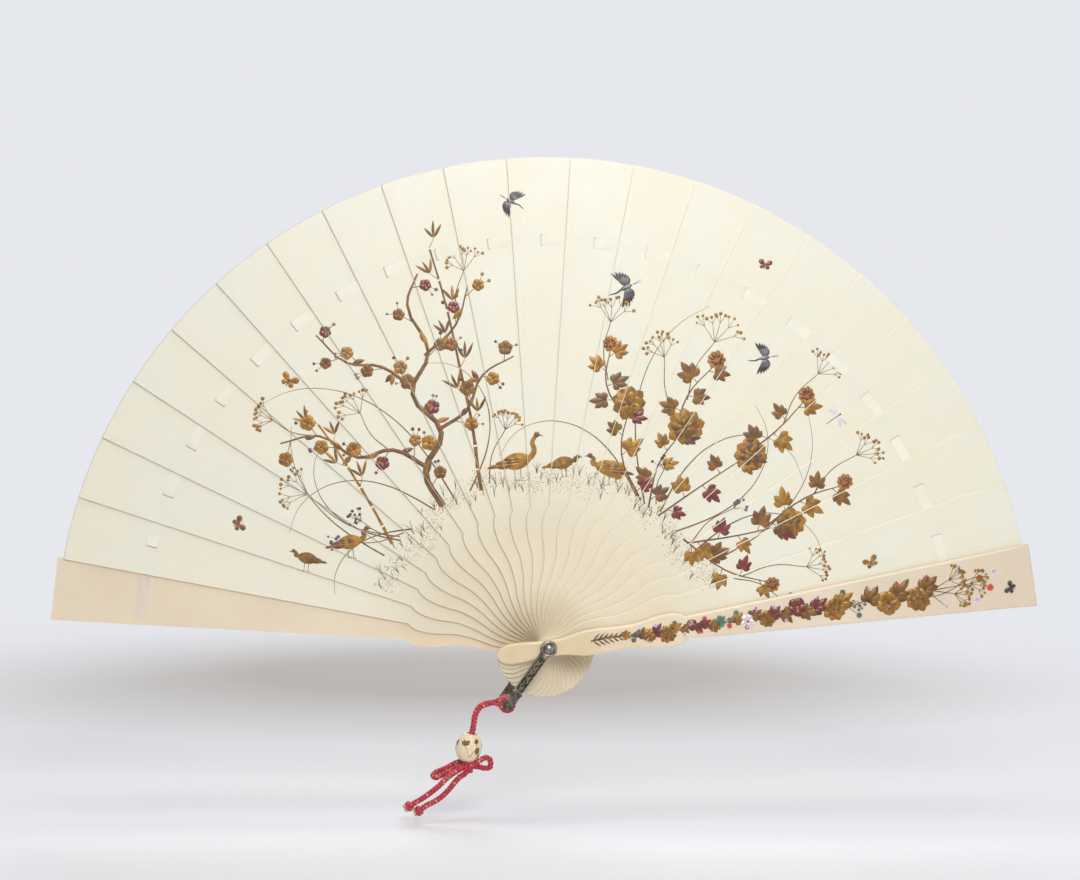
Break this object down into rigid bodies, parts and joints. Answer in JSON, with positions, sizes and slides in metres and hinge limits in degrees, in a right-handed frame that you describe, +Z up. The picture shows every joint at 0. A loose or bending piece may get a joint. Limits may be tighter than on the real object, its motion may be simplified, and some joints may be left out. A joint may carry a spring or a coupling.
{
  "type": "folding fan",
  "caption": "Open folding fan of flat riveted sticks between two guards, threaded on a ribbon, with a metal bail, a cord tassel and a bead.",
  "frame": {"origin": "middle of the rivet, half way through the stack of leaves", "axes": "+X to the right across the open fan, +Y to the back along the rivet, +Z up; the decorated front faces -Y"},
  "size_m": [0.5108, 0.0376, 0.3408],
  "materials": {
    "ivory": "satin polished",
    "aged_ivory": "satin polished",
    "bead_ivory": "polished",
    "ribbon_silk": "silk",
    "silver": "oxidised",
    "cord_silk": "braided silk"
  },
  "bodies": {
    "back_guard": {"back_guard": "aged_ivory", "ribbon_00": "ribbon_silk", "rivet_pin": "silver", "rivet_cap": "silver"},
    "stick_01": {"stick_01": "ivory", "ribbon_01": "ribbon_silk"},
    "stick_02": {"stick_02": "ivory", "ribbon_02": "ribbon_silk"},
    "stick_03": {"stick_03": "ivory", "ribbon_03": "ribbon_silk"},
    "stick_04": {"stick_04": "ivory", "ribbon_04": "ribbon_silk"},
    "stick_05": {"stick_05": "ivory", "ribbon_05": "ribbon_silk"},
    "stick_06": {"stick_06": "ivory", "ribbon_06": "ribbon_silk"},
    "stick_07": {"stick_07": "ivory", "ribbon_07": "ribbon_silk"},
    "stick_08": {"stick_08": "ivory", "ribbon_08": "ribbon_silk"},
    "stick_09": {"stick_09": "ivory", "ribbon_09": "ribbon_silk"},
    "stick_10": {"stick_10": "ivory", "ribbon_10": "ribbon_silk"},
    "stick_11": {"stick_11": "ivory", "ribbon_11": "ribbon_silk"},
    "stick_12": {"stick_12": "ivory", "ribbon_12": "ribbon_silk"},
    "stick_13": {"stick_13": "ivory", "ribbon_13": "ribbon_silk"},
    "stick_14": {"stick_14": "ivory", "ribbon_14": "ribbon_silk"},
    "stick_15": {"stick_15": "ivory", "ribbon_15": "ribbon_silk"},
    "stick_16": {"stick_16": "ivory", "ribbon_16": "ribbon_silk"},
    "stick_17": {"stick_17": "ivory", "ribbon_17": "ribbon_silk"},
    "stick_18": {"stick_18": "ivory", "ribbon_18": "ribbon_silk"},
    "stick_19": {"stick_19": "ivory", "ribbon_19": "ribbon_silk"},
    "stick_20": {"stick_20": "ivory", "ribbon_20": "ribbon_silk"},
    "stick_21": {"stick_21": "ivory", "ribbon_21": "ribbon_silk"},
    "front_guard": {"front_guard": "aged_ivory", "ribbon_22": "ribbon_silk"},
    "bail": {"bail": "silver"},
    "tassel": {"cord_loop": "cord_silk", "loop_left": "cord_silk", "loop_right": "cord_silk", "tail_left": "cord_silk", "tail_right": "cord_silk", "bow_knot": "cord_silk", "tail_end_left": "cord_silk", "tail_end_right": "cord_silk"},
    "bead": {"bead": "bead_ivory"}
  },
  "joints": [
    {"name": "front_guard_swing", "type": "hinge", "parent": "back_guard", "child": "front_guard", "pos_m": [0, 0, 0], "axis": [0, -1, 0], "range_deg": [0, 165]},
    {"name": "stick_01_swing", "type": "hinge", "parent": "back_guard", "child": "stick_01", "pos_m": [0, 0, 0], "axis": [0, -1, 0], "range_deg": [0, 7.5]},
    {"name": "stick_02_swing", "type": "hinge", "parent": "back_guard", "child": "stick_02", "pos_m": [0, 0, 0], "axis": [0, -1, 0], "range_deg": [0, 15]},
    {"name": "stick_03_swing", "type": "hinge", "parent": "back_guard", "child": "stick_03", "pos_m": [0, 0, 0], "axis": [0, -1, 0], "range_deg": [0, 22.5]},
    {"name": "stick_04_swing", "type": "hinge", "parent": "back_guard", "child": "stick_04", "pos_m": [0, 0, 0], "axis": [0, -1, 0], "range_deg": [0, 30]},
    {"name": "stick_05_swing", "type": "hinge", "parent": "back_guard", "child": "stick_05", "pos_m": [0, 0, 0], "axis": [0, -1, 0], "range_deg": [0, 37.5]},
    {"name": "stick_06_swing", "type": "hinge", "parent": "back_guard", "child": "stick_06", "pos_m": [0, 0, 0], "axis": [0, -1, 0], "range_deg": [0, 45]},
    {"name": "stick_07_swing", "type": "hinge", "parent": "back_guard", "child": "stick_07", "pos_m": [0, 0, 0], "axis": [0, -1, 0], "range_deg": [0, 52.5]},
    {"name": "stick_08_swing", "type": "hinge", "parent": "back_guard", "child": "stick_08", "pos_m": [0, 0, 0], "axis": [0, -1, 0], "range_deg": [0, 60]},
    {"name": "stick_09_swing", "type": "hinge", "parent": "back_guard", "child": "stick_09", "pos_m": [0, 0, 0], "axis": [0, -1, 0], "range_deg": [0, 67.5]},
    {"name": "stick_10_swing", "type": "hinge", "parent": "back_guard", "child": "stick_10", "pos_m": [0, 0, 0], "axis": [0, -1, 0], "range_deg": [0, 75]},
    {"name": "stick_11_swing", "type": "hinge", "parent": "back_guard", "child": "stick_11", "pos_m": [0, 0, 0], "axis": [0, -1, 0], "range_deg": [0, 82.5]},
    {"name": "stick_12_swing", "type": "hinge", "parent": "back_guard", "child": "stick_12", "pos_m": [0, 0, 0], "axis": [0, -1, 0], "range_deg": [0, 90]},
    {"name": "stick_13_swing", "type": "hinge", "parent": "back_guard", "child": "stick_13", "pos_m": [0, 0, 0], "axis": [0, -1, 0], "range_deg": [0, 97.5]},
    {"name": "stick_14_swing", "type": "hinge", "parent": "back_guard", "child": "stick_14", "pos_m": [0, 0, 0], "axis": [0, -1, 0], "range_deg": [0, 105]},
    {"name": "stick_15_swing", "type": "hinge", "parent": "back_guard", "child": "stick_15", "pos_m": [0, 0, 0], "axis": [0, -1, 0], "range_deg": [0, 112.5]},
    {"name": "stick_16_swing", "type": "hinge", "parent": "back_guard", "child": "stick_16", "pos_m": [0, 0, 0], "axis": [0, -1, 0], "range_deg": [0, 120]},
    {"name": "stick_17_swing", "type": "hinge", "parent": "back_guard", "child": "stick_17", "pos_m": [0, 0, 0], "axis": [0, -1, 0], "range_deg": [0, 127.5]},
    {"name": "stick_18_swing", "type": "hinge", "parent": "back_guard", "child": "stick_18", "pos_m": [0, 0, 0], "axis": [0, -1, 0], "range_deg": [0, 135]},
    {"name": "stick_19_swing", "type": "hinge", "parent": "back_guard", "child": "stick_19", "pos_m": [0, 0, 0], "axis": [0, -1, 0], "range_deg": [0, 142.5]},
    {"name": "stick_20_swing", "type": "hinge", "parent": "back_guard", "child": "stick_20", "pos_m": [0, 0, 0], "axis": [0, -1, 0], "range_deg": [0, 150]},
    {"name": "stick_21_swing", "type": "hinge", "parent": "back_guard", "child": "stick_21", "pos_m": [0, 0, 0], "axis": [0, -1, 0], "range_deg": [0, 157.5]},
    {"name": "bail_swing", "type": "hinge", "parent": "back_guard", "child": "bail", "pos_m": [0, 0, 0], "axis": [0, -1, 0], "range_deg": [-35, 105]},
    {"name": "tassel_swing", "type": "hinge", "parent": "bail", "child": "tassel", "pos_m": [-0.02085, 0, -0.02934], "axis": [0, -1, 0], "range_deg": [-15, 45]},
    {"name": "bead_slide", "type": "slide", "parent": "tassel", "child": "bead", "axis": [0.2079, 0, 0.9781], "range_m": [0, 0.004]}
  ],
  "couplings": [
    {"joint": "stick_01_swing", "follows": "front_guard_swing", "ratio": 0.045455},
    {"joint": "stick_02_swing", "follows": "front_guard_swing", "ratio": 0.090909},
    {"joint": "stick_03_swing", "follows": "front_guard_swing", "ratio": 0.13636},
    {"joint": "stick_04_swing", "follows": "front_guard_swing", "ratio": 0.18182},
    {"joint": "stick_05_swing", "follows": "front_guard_swing", "ratio": 0.22727},
    {"joint": "stick_06_swing", "follows": "front_guard_swing", "ratio": 0.27273},
    {"joint": "stick_07_swing", "follows": "front_guard_swing", "ratio": 0.31818},
    {"joint": "stick_08_swing", "follows": "front_guard_swing", "ratio": 0.36364},
    {"joint": "stick_09_swing", "follows": "front_guard_swing", "ratio": 0.40909},
    {"joint": "stick_10_swing", "follows": "front_guard_swing", "ratio": 0.45455},
    {"joint": "stick_11_swing", "follows": "front_guard_swing", "ratio": 0.5},
    {"joint": "stick_12_swing", "follows": "front_guard_swing", "ratio": 0.54545},
    {"joint": "stick_13_swing", "follows": "front_guard_swing", "ratio": 0.59091},
    {"joint": "stick_14_swing", "follows": "front_guard_swing", "ratio": 0.63636},
    {"joint": "stick_15_swing", "follows": "front_guard_swing", "ratio": 0.68182},
    {"joint": "stick_16_swing", "follows": "front_guard_swing", "ratio": 0.72727},
    {"joint": "stick_17_swing", "follows": "front_guard_swing", "ratio": 0.77273},
    {"joint": "stick_18_swing", "follows": "front_guard_swing", "ratio": 0.81818},
    {"joint": "stick_19_swing", "follows": "front_guard_swing", "ratio": 0.86364},
    {"joint": "stick_20_swing", "follows": "front_guard_swing", "ratio": 0.90909},
    {"joint": "stick_21_swing", "follows": "front_guard_swing", "ratio": 0.95455}
  ]
}
